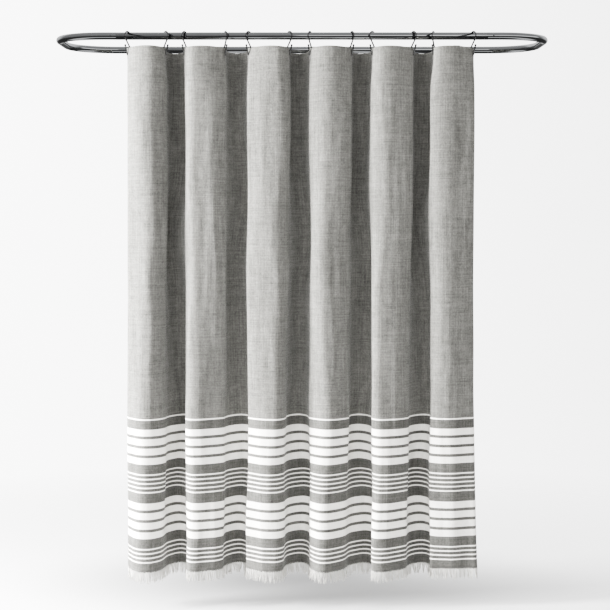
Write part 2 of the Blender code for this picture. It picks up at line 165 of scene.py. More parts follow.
# The panels between the hooks bulge to the front and to the back by turns
FORWARD = np.where(np.arange(HOOK_COUNT - 1) % 2 == 0, 1.0, -1.0)

# Cloth grid
SLOT_HALF_WIDTH = 0.0027
SLOT_STRAIGHT = 0.014
SLOT_CLOSED = 0.0003
SLOT_STEPS = 5
SLOT_CORNER = SLOT_HALF_WIDTH * (1.0 - math.sqrt(0.5))
COLUMN_STEP = 0.0064
FLAP_COLUMNS = 10
ROW_STEP = 0.013

# Sewing
TOPSTITCH_LENGTH = 0.0030
TOPSTITCH_PITCH = 0.0039
TOPSTITCH_RADIUS = 0.00028
HEADER_STITCH_DEPTH = 0.0525
HEADER_STITCH_ENDS = (0.004, 0.008)
SIDE_STITCH_INSET = 0.0095
SIDE_STITCH_END = 0.006
STITCH_SIDES = 6
BUTTONHOLE_STITCHES = 46
BUTTONHOLE_STITCH_REACH = 0.0022
BUTTONHOLE_STITCH_RADIUS = 0.0005

# Fringe
STRANDS = 980
STRAND_POINTS = 7
STRAND_SIDES = 5
STRAND_RADIUS = 0.00085
STRAND_LENGTHS = (0.029, 0.039)
TUFT_WIDTH = 0.0105
STRAND_LEAN = 0.0028

# White stripes, as groups of (start, count, pitch, width), measured down from a height above the hem
STRIPES_HEIGHT = 0.527
STRIPE_SOFTNESS = 0.0006
STRIPE_RAGGEDNESS = 0.0016
STRIPE_GROUPS = (
    (0.0012, 1, 0.0, 0.0056),
    (0.0373, 4, 0.0325, 0.0228),
    (0.1903, 5, 0.015, 0.0050),
    (0.2898, 4, 0.0328, 0.0228),
    (0.4443, 4, 0.015, 0.0050),
)

# The grey between the stripes has darker yarns
BORDER_SHADE = 0.73

# Weave: the pitch of its threads, and the share of the light yarns' colour that each pattern adds or takes away
WARP_PITCH = 0.0010
WEFT_PITCH = 0.0011
WEAVE_TONE = 0.10
# The noise patterns, as (scale across, scale up, shift across, shift up, detail, roughness, half spread, tone); the
# tone of the crumples' pattern is painted shade, darker in the hollows of their relief
TONES = {
    "warp": (900.0, 9.0, 0.0, 0.0, 3.0, 0.6, 0.2, 0.13),
    "weft": (11.0, 800.0, 3.0, 5.0, 3.0, 0.6, 0.2, 0.13),
    "streak": (230.0, 6.5, 9.0, 2.0, 3.0, 0.55, 0.2, 0.15),
    "slub": (22.0, 330.0, 4.0, 8.0, 2.0, 0.5, 0.2, 0.12),
    "mottle": (190.0, 130.0, 2.0, 6.0, 2.0, 0.6, 0.2, 0.17),
    "bar": (2.6, 190.0, 7.0, 1.0, 2.0, 0.6, 0.2, 0.10),
    "cloud": (7.0, 5.0, 0.0, 0.0, 3.0, 0.55, 0.2, 0.07),
    "crumple_and_painted_shade": (44.0, 30.0, 1.0, 4.0, 3.0, 0.6, 0.2, 0.13),
    "speck": (620.0, 560.0, 0.0, 0.0, 2.0, 0.7, 0.25, 0.14),
}
# How far the darkest and lightest yarns are from the mean: grey field, grey border, white
FIELD_CONTRAST = 0.45
BORDER_CONTRAST = 0.40
WHITE_RANGE = (0.87, 1.05)
WHITE_LIMIT = 0.93
# Depths of the relief in metres, and how strongly it tilts the surface: threads, slubs, soft crumples
THREAD_RELIEF = (0.00035, 0.7)
SLUB_RELIEF = (0.0009, 0.55)
CRUMPLE_RELIEF = (0.0035, 0.45)

# Camera
CAMERA_DISTANCE = 5.5
CAMERA_X = 0.0105
CAMERA_Z = -0.5865
CAMERA_PITCH = 2.11
LENS = 95.2
SHIFT_Y = -0.06

FULL_TURN = 2.0 * math.pi
generator = np.random.default_rng(11)


# ---- meshes

def add_object(name, data):
    item = bpy.data.objects.new(name, data)
    bpy.context.scene.collection.objects.link(item)
    return item


def mesh_object(name, points, faces):
    mesh = bpy.data.meshes.new(name)
    mesh.from_pydata(np.asarray(points, float).reshape(-1, 3).tolist(), [], faces)
    mesh.update()
    mesh.shade_smooth()
    return add_object(name, mesh)


def unit(vectors):
    return vectors / np.maximum(np.linalg.norm(vectors, axis=-1, keepdims=True), 1e-12)


def arc(middle, radius, start, end, steps):
    """Points of a flat arc between two angles in degrees; its radius may differ along the two axes."""
    radius_x, radius_y = np.broadcast_to(radius, 2)
    angles = np.radians(np.linspace(start, end, steps + 1))
    return [(middle[0] + radius_x * math.cos(a), middle[1] + radius_y * math.sin(a)) for a in angles]


def tubes(name, paths, radii, sides, reference, caps=True):
    """Round tubes along several paths that have the same number of points, as one mesh.
    The reference is a direction that no path runs along, one for all tubes or one each."""
    paths = np.asarray(paths, float)
    count, length, _ = paths.shape
    along = unit(np.gradient(paths, axis=1))
    reference = np.broadcast_to(np.asarray(reference, float).reshape(-1, 1, 3), along.shape)
    across = unit(np.cross(along, reference))
    upward = np.cross(across, along)
    angles = np.arange(sides) * FULL_TURN / sides
    ring = across[:, :, None] * np.cos(angles)[None, None, :, None]
    ring = ring + upward[:, :, None] * np.sin(angles)[None, None, :, None]
    radii = np.broadcast_to(np.asarray(radii, float), (count, length))
    points = paths[:, :, None] + ring * radii[:, :, None, None]
    faces = []
    for tube in range(count):
        base = tube * length * sides
        for step in range(length - 1):
            low = base + step * sides
            high = low + sides
            for side in range(sides):
                after = (side + 1) % sides
                faces.append((low + side, low + after, high + after, high + side))
        if caps:
            faces.append(tuple(base + side for side in reversed(range(sides))))
            faces.append(tuple(base + (length - 1) * sides + side for side in range(sides)))
    return mesh_object(name, points, faces)


def turned(name, profile, closed, steps):
    """A profile of (radius, height) turned about Z; an open profile starts and ends on the axis."""
    angles = np.arange(steps) * FULL_TURN / steps
    points, rings = [], []
    for radius, height in profile:
        if radius == 0.0:
            rings.append([len(points)])
            points.append((0.0, 0.0, height))
        else:
            rings.append(list(range(len(points), len(points) + steps)))
            points += [(radius * math.cos(a), radius * math.sin(a), height) for a in angles]
    faces = []
    pairs = list(zip(rings, rings[1:]))
    if closed:
        pairs.append((rings[-1], rings[0]))
    for first, second in pairs:
        for step in range(steps):
            after = (step + 1) % steps
            corners = [first[step % len(first)], second[step % len(second)]]
            corners += [second[after % len(second)], first[after % len(first)]]
            face = [c for i, c in enumerate(corners) if c not in corners[:i]]
            faces.append(tuple(face))
    return mesh_object(name, points, faces)


def sharpen(item, degrees=40.0):
    item.data.set_sharp_from_angle(angle=math.radians(degrees))


def edit(item, change):
    """Applies a change to the piece's mesh as a bmesh."""
    bm = bmesh.new()
    bm.from_mesh(item.data)
    change(bm)
    bm.to_mesh(item.data)
    bm.free()


def fix_normals(item):
    edit(item, lambda bm: bmesh.ops.recalc_face_normals(bm, faces=bm.faces))


def drop_loose(item):
    """Deletes the points that no face uses."""
    edit(item, lambda bm: bmesh.ops.delete(bm, geom=[v for v in bm.verts if not v.link_faces], context="VERTS"))


def turned_at(name, profile, location, direction, closed=False, steps=TURNED_STEPS):
    """A turned piece at a location, its +Z along the direction, kept so in its mesh."""
    item = turned(name, profile, closed, steps)
    matrix = Vector(direction).to_track_quat("Z", "Y").to_matrix().to_4x4()
    matrix.translation = Vector(location)
    item.data.transform(matrix)
    fix_normals(item)
    return item


def drill(item, location, direction, radius, depth):
    """Cuts a round blind hole, and applies it."""
    profile = [(0.0, 0.0), (radius, 0.0), (radius, depth), (0.0, depth)]
    cutter = turned_at("drill", profile, location, direction, steps=32)
    modifier = item.modifiers.new("hole", "BOOLEAN")
    modifier.operation = "DIFFERENCE"
    modifier.solver = "EXACT"
    modifier.object = cutter
    bpy.context.view_layer.update()
    evaluated = item.evaluated_get(bpy.context.evaluated_depsgraph_get())
    mesh = bpy.data.meshes.new_from_object(evaluated)
    item.modifiers.clear()
    item.data = mesh
    bpy.data.objects.remove(cutter, do_unlink=True)


def finish_piece(item, look, body, *nodes):
    """Gives a piece the material of its look (a look is a material and its slot's name), parents it to its body, and
    hides the nodes it stands for.
    """
    material, slot_name = look
    item.data.materials.clear()
    item.data.materials.append(material)
    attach(item, body)
    if nodes:
        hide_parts(*nodes)
    return item


# ---- materials

class Nodes:
    """A short way to write the shader nodes of a material or a world."""

    def __init__(self, owner):
        owner.use_nodes = True
        self.owner, self.tree = owner, owner.node_tree
        self.shader = self.tree.nodes.get("Principled BSDF")

    def add(self, kind, *values, **settings):
        """A new node with its settings, its first sockets fed with the values."""
        node = self.tree.nodes.new("ShaderNode" + kind)
        for key, value in settings.items():
            setattr(node, key, value)
        for value, socket in zip(values, node.inputs):
            self.feed(value, socket)
        return node

    def link(self, source, target):
        self.tree.links.new(source, target)

    def feed(self, value, socket):
        if isinstance(value, (int, float, tuple)):
            socket.default_value = value
        else:
            self.link(value, socket)

    def math(self, operation, first, second=0.0):
        return self.add("Math", first, second, operation=operation).outputs[0]

    def noise(self, vector, scale, detail=2.0, roughness=0.5):
        return self.add("TexNoise", vector, 0.0, scale, detail, roughness).outputs["Fac"]

    def mapping(self, vector, scale, location):
        return self.add("Mapping", vector, location, (0.0, 0.0, 0.0), scale).outputs["Vector"]

    def mix(self, factor, first, second):
        node = self.add("Mix", data_type="RGBA")
        self.feed(factor, node.inputs["Factor"])
        for value, name in ((first, "A"), (second, "B")):
            self.feed((*value, 1.0) if isinstance(value, tuple) else value, node.inputs[name])
        return node.outputs["Result"]

    def remap(self, value, from_low, from_high, to_low, to_high):
        return self.add("MapRange", value, from_low, from_high, to_low, to_high).outputs["Result"]

    def bump(self, height, distance, strength=1.0, normal=None):
        node = self.add("Bump", strength, distance)
        self.link(height, node.inputs["Height"])
        if normal:
            self.link(normal, node.inputs["Normal"])
        return node.outputs["Normal"]

    def set(self, **values):
        for key, value in values.items():
            self.feed(value, self.shader.inputs[key.replace("_", " ")])


def scaled(color, factor):
    return tuple(channel * factor for channel in color)


def metal(name, color, roughness, smudge, grain):
    """Polished metal: faint smudges in its roughness, hairline grain in its surface."""
    n = Nodes(bpy.data.materials.new(name))
    coordinates = n.add("TexCoord").outputs["Object"]
    smudges = n.noise(coordinates, 14.0, 4.0, 0.6)
    fine = n.noise(coordinates, 900.0)
    n.set(
        Metallic=1.0,
        Roughness=n.remap(smudges, 0.35, 0.75, roughness, roughness + smudge),
        Base_Color=n.mix(n.remap(smudges, 0.3, 0.7, 0.0, 1.0), color, scaled(color, 0.93)),
        Normal=n.bump(fine, grain, 0.3)
    )
    return n.owner


def stripe_mask(n, height):
    """1 on the white stripes, from the height above the hem in metres."""
    below = n.math("SUBTRACT", STRIPES_HEIGHT, height)
    total = 0.0
    for start, count, pitch, width in STRIPE_GROUPS:
        for index in range(count):
            away = n.math("ABSOLUTE", n.math("SUBTRACT", below, start + index * pitch + width / 2.0))
            edges = (width / 2.0 - STRIPE_SOFTNESS, width / 2.0 + STRIPE_SOFTNESS)
            total = n.math("MAXIMUM", total, n.remap(away, *edges, 1.0, 0.0))
    return total


def woven_cloth(name, grey, white):
    """A plain weave of slubby yarns: grey field, white stripes, on the UV map of flat metres; painted shade darkens
    the hollows of its crumples.
    """
    n = Nodes(bpy.data.materials.new(name))
    uv = n.add("UVMap", uv_map="flat").outputs["UV"]
    across, height, _ = n.add("SeparateXYZ", uv).outputs

    fields = {}
    share = 0.5
    # Each pattern shifts the colour; the shift of the crumples' pattern is painted shade that follows their relief,
    # darker in the hollows
    for field, (across_scale, up_scale, shift_x, shift_y, detail, roughness, spread, tone) in TONES.items():
        vector = n.mapping(uv, (across_scale, up_scale, 1.0), (shift_x, shift_y, 0.0))
        fields[field] = n.noise(vector, 1.0, detail, roughness)
        share = n.math("ADD", share, n.remap(fields[field], 0.5 - spread, 0.5 + spread, -tone, tone))
    threads = [
        n.math("ABSOLUTE", n.math("SINE", n.math("MULTIPLY", way, math.pi / pitch)))
        for way, pitch in ((across, WARP_PITCH), (height, WEFT_PITCH))
    ]
    weave = n.math("MULTIPLY", *threads)
    share = n.math("ADD", share, n.remap(weave, 0.0, 1.0, -WEAVE_TONE, WEAVE_TONE))

    field_color = n.mix(share, scaled(grey, 1.0 - FIELD_CONTRAST), scaled(grey, 1.0 + FIELD_CONTRAST))
    border = scaled(grey, BORDER_SHADE)
    border_color = n.mix(share, scaled(border, 1.0 - BORDER_CONTRAST), scaled(border, 1.0 + BORDER_CONTRAST))
    color = n.mix(n.math("LESS_THAN", height, STRIPES_HEIGHT), field_color, border_color)
    white_dark, white_light = (scaled(white, factor) for factor in WHITE_RANGE)
    white_light = tuple(min(channel, WHITE_LIMIT) for channel in white_light)
    ragged = n.math("MULTIPLY", n.math("SUBTRACT", fields["warp"], 0.5), STRIPE_RAGGEDNESS)
    mask = stripe_mask(n, n.math("ADD", height, ragged))
    color = n.mix(mask, color, n.mix(share, white_dark, white_light))

    relief = n.math("ADD", n.math("MULTIPLY", weave, 0.8), n.math("MULTIPLY", fields["warp"], 0.9))
    relief = n.math("ADD", relief, n.math("MULTIPLY", fields["weft"], 0.9))
    soft_relief = n.math("ADD", fields["streak"], n.math("MULTIPLY", fields["slub"], 0.6))
    normal = n.bump(soft_relief, *SLUB_RELIEF, n.bump(relief, *THREAD_RELIEF))
    n.set(
        Base_Color=color, Roughness=n.remap(fields["speck"], 0.3, 0.7, 0.84, 0.98),
        Normal=n.bump(fields["crumple_and_painted_shade"], *CRUMPLE_RELIEF, normal),
        Sheen_Weight=0.25, Sheen_Roughness=0.5, Specular_IOR_Level=0.25
    )
    return n.owner


def yarn(name, color, twist_scale):
    """Spun yarn: twisted plies, soft halo, slightly uneven colour."""
    n = Nodes(bpy.data.materials.new(name))
    coordinates = n.add("TexCoord").outputs["Object"]
    twist = n.add("TexWave", coordinates, twist_scale, 2.0, wave_type="BANDS", bands_direction="DIAGONAL")
    lint = n.noise(coordinates, 420.0, 3.0, 0.6)
    shade = n.noise(coordinates, 60.0)
    height = n.math("ADD", n.math("MULTIPLY", twist.outputs["Fac"], 0.7), lint)
    n.set(
        Base_Color=n.mix(n.remap(shade, 0.3, 0.7, 0.0, 1.0), scaled(color, 0.86), color),
        Roughness=n.remap(lint, 0.3, 0.7, 0.82, 0.97), Normal=n.bump(height, 0.0003, 0.7),
        Sheen_Weight=0.3, Sheen_Roughness=0.5, Specular_IOR_Level=0.25
    )
    return n.owner


# Each look is a material and its slot's name
CHROME = metal("polished_chrome", (0.60, 0.61, 0.62), 0.05, 0.05, 0.0000006), "rail_chrome"
HOOK_CHROME = metal("hook_chrome", (0.36, 0.36, 0.365), 0.12, 0.08, 0.000001), "hook_chrome"
STEEL = metal("brushed_steel", (0.40, 0.40, 0.41), 0.26, 0.12, 0.00002), "fastener_steel"
CLOTH = woven_cloth("striped_linen", (0.187, 0.185, 0.173), (0.80, 0.785, 0.75)), "grey_cloth"
# The fringe's white yarn is darker than the white stripes: partly the yarn's own colour, partly painted shade among
# the strands
WHITE_YARN_WITH_PAINTED_SHADE = yarn("white_yarn", (0.58, 0.57, 0.54), 900.0), "white_yarn"
THREAD = yarn("grey_thread", (0.20, 0.197, 0.187), 1800.0), "stitching_thread"


# ---- rail and supports

def end_path(side):
    """Centreline of one bent end, from the front joint round to the rear joint."""
    corner_x = RAIL_HALF_WIDTH - CORNER_RADIUS
    points = [(END_START, FRONT_RUN_Y)]
    for corner_y, start in ((FRONT_RUN_Y + CORNER_RADIUS, -90.0), (REAR_RUN_Y - CORNER_RADIUS, 0.0)):
        points += arc((corner_x, corner_y), CORNER_RADIUS, start, start + 90.0, CORNER_STEPS)
    points.append((END_START, REAR_RUN_Y))
    return [(side * x, y, 0.0) for x, y in points]


def hollow_tube(name, path, node):
    tube = tubes(name, [path], TUBE_RADIUS, TUBE_SIDES, (0.0, 0.0, 1.0), caps=False)
    fix_normals(tube)
    shell = tube.modifiers.new("wall", "SOLIDIFY")
    shell.thickness = TUBE_WALL
    shell.offset = -1.0
    finish_piece(tube, CHROME, "rail", node)
    return tube


def build_rail():
    for place_name, run_y in (("front", FRONT_RUN_Y), ("rear", REAR_RUN_Y)):
        ends = [(-RUN_HALF, run_y, 0.0), (RUN_HALF, run_y, 0.0)]
        hollow_tube(f"tube_{place_name}_run", ends, f"rail_{place_name}_run")
    for side_name, side in (("left", -1.0), ("right", 1.0)):
        bend = hollow_tube(f"tube_{side_name}_end", end_path(side), f"rail_{side_name}_end")
        for place_name, outward in (("front", -1.0), ("rear", 1.0)):
            name = f"rail_screw_{side_name}_{place_name}"
            middle = centre(name)
            start = (middle.x, middle.y - outward * TUBE_HOLE_START, 0.0)
            drill(bend, start, (0.0, outward, 0.0), SCREW_HOLE_RADIUS, SCREW_HOLE_DEPTH)
            socket_screw(name, middle, (0.0, outward, 0.0))
        sharpen(bend)


def socket_screw(node, middle, direction):
    """A grub screw with a round drive socket in its outer end."""
    length = max(size(node))
    radius = min(size(node)) / 2.0
    socket = radius * 0.5
    depth = length * 0.45
    profile = [(0.0, 0.0), (radius * 0.8, 0.0), (radius, radius * 0.2), (radius, length - radius * 0.18)]
    profile += [(radius * 0.85, length), (socket, length), (socket * 0.98, length - depth), (0.0, length - depth)]
    start = middle - Vector(direction) * length / 2.0
    screw = turned_at(node + "_socket", profile, start, direction, steps=36)
    sharpen(screw)
    finish_piece(screw, STEEL, "rail", node)


def build_support(side_name):
    """Wall plate, its two countersunk screws, bent arm, and collar round the rear run."""
    wall_point = centre("wall_plate_" + side_name)
    wall_point.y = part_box("wall_plate_" + side_name)[1].y
    rim = PLATE_THICKNESS * 0.40
    crown = PLATE_RADIUS * 0.72
    profile = [(0.0, PLATE_THICKNESS), (crown * 0.5, PLATE_THICKNESS), (crown, PLATE_THICKNESS)]
    profile += arc((crown, rim), (PLATE_RADIUS - crown, PLATE_THICKNESS - rim), 90.0, 0.0, 8)[1:]
    profile += [(PLATE_RADIUS, 0.0), (0.0, 0.0)]
    plate = turned_at("plate_" + side_name, profile, wall_point, (0.0, -1.0, 0.0))
    for place_name in ("inner", "outer"):
        node = f"wall_screw_{side_name}_{place_name}"
        middle = centre(node)
        start = (middle.x, PLATE_HOLE_START, middle.z)
        drill(plate, start, (0.0, 1.0, 0.0), size(node).x / 2.0 + PLATE_HOLE_GAP, PLATE_HOLE_LENGTH)
        wall_screw(node)
    sharpen(plate, 30.0)
    finish_piece(plate, CHROME, "rail", "wall_plate_" + side_name)

    x = wall_point.x
    arm_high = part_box("support_arm_" + side_name)[1]
    corner_y, corner_z = REAR_RUN_Y + ARM_BEND, wall_point.z + ARM_BEND
    path = [(x, arm_high.y, wall_point.z), (x, (arm_high.y + corner_y) / 2.0, wall_point.z)]
    path += [(x, y, z) for y, z in arc((corner_y, corner_z), ARM_BEND, 270.0, 180.0, 24)]
    path.append((x, REAR_RUN_Y, arm_high.z))
    arm = tubes("arm_" + side_name, [path], ARM_RADIUS, ARM_SIDES, (1.0, 0.0, 0.0))
    fix_normals(arm)
    sharpen(arm)
    finish_piece(arm, CHROME, "rail", "support_arm_" + side_name)

    half = COLLAR_WIDTH / 2.0
    edge = 0.0012
    profile = [(COLLAR_INNER, half - edge / 2.0), (COLLAR_INNER + edge / 2.0, half)]
    profile += [(COLLAR_OUTER - edge, half), (COLLAR_OUTER - edge * 0.3, half - edge * 0.3)]
    profile += [(COLLAR_OUTER, half - edge)]
    profile += [(radius, -height) for radius, height in reversed(profile)]
    collar = turned_at("collar_" + side_name, profile, (x, REAR_RUN_Y, 0.0), (1.0, 0.0, 0.0), closed=True)
    start = (x, REAR_RUN_Y + COLLAR_INNER - COLLAR_HOLE_START, 0.0)
    drill(collar, start, (0.0, 1.0, 0.0), SCREW_HOLE_RADIUS, SCREW_HOLE_DEPTH)
    sharpen(collar, 30.0)
    finish_piece(collar, CHROME, "rail", "rail_collar_" + side_name)
    socket_screw("collar_screw_" + side_name, centre("collar_screw_" + side_name), (0.0, 1.0, 0.0))


def wall_screw(node):
    """A countersunk wood screw with a round drive recess and a thread, pointing into the wall."""
    low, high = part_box(node)
    middle = (low + high) / 2.0
    head = (high.x - low.x) / 2.0
    shank = head * 0.52
    length = high.y - low.y
    profile = [(0.0, length - 0.0012), (head * 0.22, length - 0.0010), (head * 0.28, length)]
    profile += [(head * 0.92, length), (head, length - 0.0004), (head, length - 0.0010)]
    profile.append((shank, length - 0.003))
    thread_start, thread_end, pitch = length - 0.008, 0.006, 0.0011
    turns = int((thread_start - thread_end) / pitch)
    for index in range(turns):
        top = thread_start - index * pitch
        profile += [(shank * 0.80, top), (shank * 0.98, top - pitch * 0.5)]
    profile += [(shank * 0.8, thread_end), (0.0, 0.0)]
    screw = turned_at(node + "_thread", profile, (middle.x, high.y, middle.z), (0.0, -1.0, 0.0), steps=32)
    sharpen(screw, 50.0)
    finish_piece(screw, STEEL, "rail", node)


# ---- hooks

def round_corner(before, corner, after, radius, steps):
    """Points of the arc that rounds one corner of a flat path."""
    corner = Vector(corner)
    first = (Vector(before) - corner).normalized()
    second = (Vector(after) - corner).normalized()
    half_angle = first.angle(second) / 2.0
    reach = radius / math.tan(half_angle)
    middle = corner + (first + second).normalized() * radius / math.sin(half_angle)
    begin = corner + first * reach - middle
    start = math.degrees(math.atan2(begin.y, begin.x))
    sweep = math.degrees(begin.angle_signed(corner + second * reach - middle))
    return arc(middle, radius, start, start - sweep, steps)


def hook_line():
    """The wire's centreline in the hook's own plane, with the wire's radius at each point."""
    height = TUBE_RADIUS + HOOK_WIRE + HOOK_GAP
    loop = arc((0.0, 0.0), (HOOK_LOOP_HALF_WIDTH, height), HOOK_LOOP_START, HOOK_LOOP_END, 40)
    elbow = round_corner(loop[-1], HOOK_ELBOW, HOOK_TIP, HOOK_BEND, 10)
    tip = round_corner(HOOK_ELBOW, HOOK_TIP, HOOK_FREE_END, HOOK_BEND, 14)
    line = loop + elbow + tip + [HOOK_FREE_END]
    radii = [0.0004, 0.0014] + [HOOK_WIRE] * (len(line) - 2)
    line[1:1] = [tuple(Vector(line[0]).lerp(Vector(line[1]), 0.12))]
    radii.insert(2, HOOK_WIRE)
    last = Vector(line[-1])
    direction = (last - Vector(line[-2])).normalized()
    neck = math.asin(HOOK_WIRE / HOOK_BALL)
    for step in range(1, 13):
        angle = neck + (math.pi * 0.98 - neck) * step / 12.0
        point = last + direction * HOOK_BALL * (math.cos(neck) - math.cos(angle))
        line.append((point.x, point.y))
        radii.append(HOOK_BALL * math.sin(angle))
    return line, radii


def hook_turn(index):
    """How far a hook's plane is turned towards its own front pleat, to the left on every other hook."""
    side = -1.0 if index % 2 == 0 else 1.0
    return side * (HOOK_TURN + HOOK_TURN_SPREAD * math.sin(1.7 * index))


# Depth of the wire's centre at a hook's lowest point, where the buttonhole carries the cloth
SLOT_DEPTH = FRONT_TOP_Z - min(up for _, up in hook_line()[0])
SLOT_TOP = SLOT_DEPTH - SLOT_HALF_WIDTH
SLOT_BOTTOM = SLOT_DEPTH + SLOT_STRAIGHT


def build_hooks():
    line, radii = hook_line()
    for index, name in enumerate(HOOK_NAMES):
        turn = hook_turn(index)
        turn_x, turn_y = math.sin(turn), math.cos(turn)
        path = [(HOOK_XS[index] + forward * turn_x, FRONT_RUN_Y - forward * turn_y, up) for forward, up in line]
        wire = tubes(f"wire_{name}", [path], radii, HOOK_SIDES, (turn_y, turn_x, 0.0))
        fix_normals(wire)
        finish_piece(wire, HOOK_CHROME, name, name)


# ---- the drape

def ease(values):
    values = np.clip(values, 0.0, 1.0)
    return values * values * (3.0 - 2.0 * values)


def wander(positions, seed):
    """A smooth value between -1 and 1 that drifts along the positions, the same each run."""
    phase = 2.399 * seed
    slow = np.sin(FULL_TURN * positions / 0.9 + phase)
    return (slow + 0.5 * np.sin(FULL_TURN * positions / 0.43 + phase + 1.7)) / 1.5


def arc_growth(shares):
    """How much of its end turn each fine step has, before and after the crest: 1 at the hooks, 0 at the crest."""
    t = (np.arange(FINE_STEPS) + 0.5) / FINE_STEPS
    crest = shares[:, :, None]
    powers = np.where(FORWARD > 0.0, FRONT_POWER, RECESS_POWER)[None, :, None]
    before = np.clip(1.0 - t / crest, 0.0, 1.0) ** powers
    after = np.clip((t - crest) / (1.0 - crest), 0.0, 1.0) ** powers
    return before, after


def rounded_turns(growth, firsts, seconds):
    """Direction of the cloth at fine steps from its left edge to its right edge; positive is forwards."""
    before, after = growth
    rows = len(firsts)
    turns = FORWARD[:, None] * (firsts[:, :, None] * before - seconds[:, :, None] * after)
    left = np.full((rows, FLAP_STEPS), FLAP_TURN)
    right = np.full((rows, FLAP_STEPS), -FLAP_TURN)
    turns = np.concatenate([left, turns.reshape(rows, -1), right], axis=1)
    reach = round(FOLD_ROUNDING * 2.6 / FINE_STEP)
    padded = np.pad(turns, ((0, 0), (reach, reach)), mode="edge")
    offsets = np.arange(-reach, reach + 1)
    weights = np.exp(-0.5 * (offsets * FINE_STEP / FOLD_ROUNDING) ** 2)
    weights = weights / weights.sum()
    rounded = np.zeros_like(turns)
    for offset, weight in zip(offsets, weights):
        start = reach + offset
        rounded += weight * padded[:, start:start + turns.shape[1]]
    return rounded


def edges_and_crests(depths, fall, settled):
    """At each depth, the X of the fold below each hook, and where each panel has its crest."""
    xs = HOOK_XS + np.array(EDGE_SHIFTS) * settled[:, None] + np.array(HEM_SHIFTS) * (fall ** 1.5)[:, None]
    xs[:, -1] += LAST_EDGE_FLARE * fall ** 5
    for index in range(1, HOOK_COUNT - 1):
        xs[:, index] += SHIFT_WANDER * wander(depths, index + 40) * settled
    shares = np.zeros((len(depths), HOOK_COUNT - 1))
    recess = RECESS_SHARE + (HEM_RECESS_SHARE - RECESS_SHARE) * fall
    for panel in range(HOOK_COUNT - 1):
        share = CREST_SHARES[panel // 2] if panel % 2 == 0 else recess
        shares[:, panel] = share + CREST_WANDER * wander(depths, panel + 20) * settled
    return xs, shares


def solve_turns(spans, shares):
    """Direction of the cloth at fine steps, such that each panel of full length spans the way between its folds."""
    growth = before, after = arc_growth(shares)
    firsts = np.where(spans > WIDE_PANEL, *FIRST_TURNS)
    seconds = firsts.copy()
    for _ in range(TURN_ROUNDS):
        turns = rounded_turns(growth, firsts, seconds)[:, PANELS].reshape(before.shape)
        gap_x = spans - np.cos(turns).mean(axis=2)
        gap_y = -FORWARD * np.sin(turns).mean(axis=2)
        one, two = firsts[:, :, None] * before, seconds[:, :, None] * after
        x_one, x_two = -(before * np.sin(one)).mean(axis=2), -(after * np.sin(two)).mean(axis=2)
        y_one, y_two = (before * np.cos(one)).mean(axis=2), -(after * np.cos(two)).mean(axis=2)
        scale = TURN_SHARE / (x_one * y_two - x_two * y_one)
        firsts = np.clip(firsts + (gap_x * y_two - gap_y * x_two) * scale, *TURN_LIMITS)
        seconds = np.clip(seconds + (gap_y * x_one - gap_x * y_one) * scale, *TURN_LIMITS)
    return rounded_turns(growth, firsts, seconds)


def fold_lines(depths):
    """The cloth seen from above at each depth: flat distances, and X and Y of fine points."""
    fall = np.maximum(depths - HEADER_DEPTH, 0.0) / (CLOTH_LENGTH - HEADER_DEPTH)
    settled = ease((depths - SETTLE_START) / SETTLE_DEPTH)
    xs, shares = edges_and_crests(depths, fall, settled)
    spans = np.diff(xs, axis=1) / HOLE_SPACING
    turns = solve_turns(spans, shares)
    steps_x, steps_y = np.cos(turns), -np.sin(turns)
    grid = (*spans.shape, FINE_STEPS)
    panel_x, panel_y = steps_x[:, PANELS].reshape(grid), steps_y[:, PANELS].reshape(grid)
    panel_x = panel_x * (spans / panel_x.mean(axis=2))[:, :, None]
    panel_y = panel_y - panel_y.mean(axis=2, keepdims=True)
    steps_x[:, PANELS] = panel_x.reshape(len(depths), -1)
    steps_y[:, PANELS] = panel_y.reshape(len(depths), -1)
    lengths = np.full(turns.shape[1], FLAP / FLAP_STEPS)
    lengths[PANELS] = FINE_STEP
    start = np.zeros((len(depths), 1))
    fine_x, fine_y = (
        np.concatenate([start, np.cumsum(steps * lengths, axis=1)], axis=1) for steps in (steps_x, steps_y)
    )
    fine_x = fine_x - fine_x[:, [FLAP_STEPS]] + xs[:, :1]
    fine_y = fine_y - fine_y[:, [FLAP_STEPS]]
    fine_y = fine_y - (fine_y.mean(axis=1) * settled)[:, None] + FRONT_RUN_Y
    return np.concatenate([[0.0], np.cumsum(lengths)]), fine_x, fine_y


def edge_offset(flats, depths):
    """How far the cloth stands above or sags below its level at the hooks."""
    panel = np.floor((flats - FLAP) / HOLE_SPACING)
    share = (flats - FLAP) / HOLE_SPACING - panel
    inside = (panel >= 0) & (panel < HOOK_COUNT - 1)
    height = np.where(panel % 2 == 0, FRONT_RISE, -RECESS_SAG)
    arch = np.where(inside, np.sin(math.pi * share), 0.0) * height
    return arch[None, :] * np.exp(-depths / ARCH_DEPTH)[:, None]


def grid_columns():
    holes = FLAP + HOLE_SPACING * np.arange(HOOK_COUNT)
    width = HOLE_SPACING - 2.0 * SLOT_HALF_WIDTH
    between = np.linspace(0.0, width, round(width / COLUMN_STEP) + 1)
    panels = holes[:-1, None] + SLOT_HALF_WIDTH + between
    flap = np.linspace(0.0, FLAP - SLOT_HALF_WIDTH, FLAP_COLUMNS + 1)
    return np.sort(np.concatenate([holes, panels.ravel(), flap, FLAT_WIDTH - flap]))


def grid_rows():
    rows = [0.0, 0.0025, 0.006, 0.010, 0.0145]
    rows += [SLOT_TOP, SLOT_TOP + SLOT_CORNER]
    rows += [SLOT_DEPTH + SLOT_STRAIGHT * step / SLOT_STEPS for step in range(SLOT_STEPS + 1)]
    rows += [0.042, 0.0485, HEADER_DEPTH, 0.062, 0.071]
    count = round((CLOTH_LENGTH - rows[-1]) / ROW_STEP)
    return np.concatenate([rows[:-1], np.linspace(rows[-1], CLOTH_LENGTH, count + 1)])


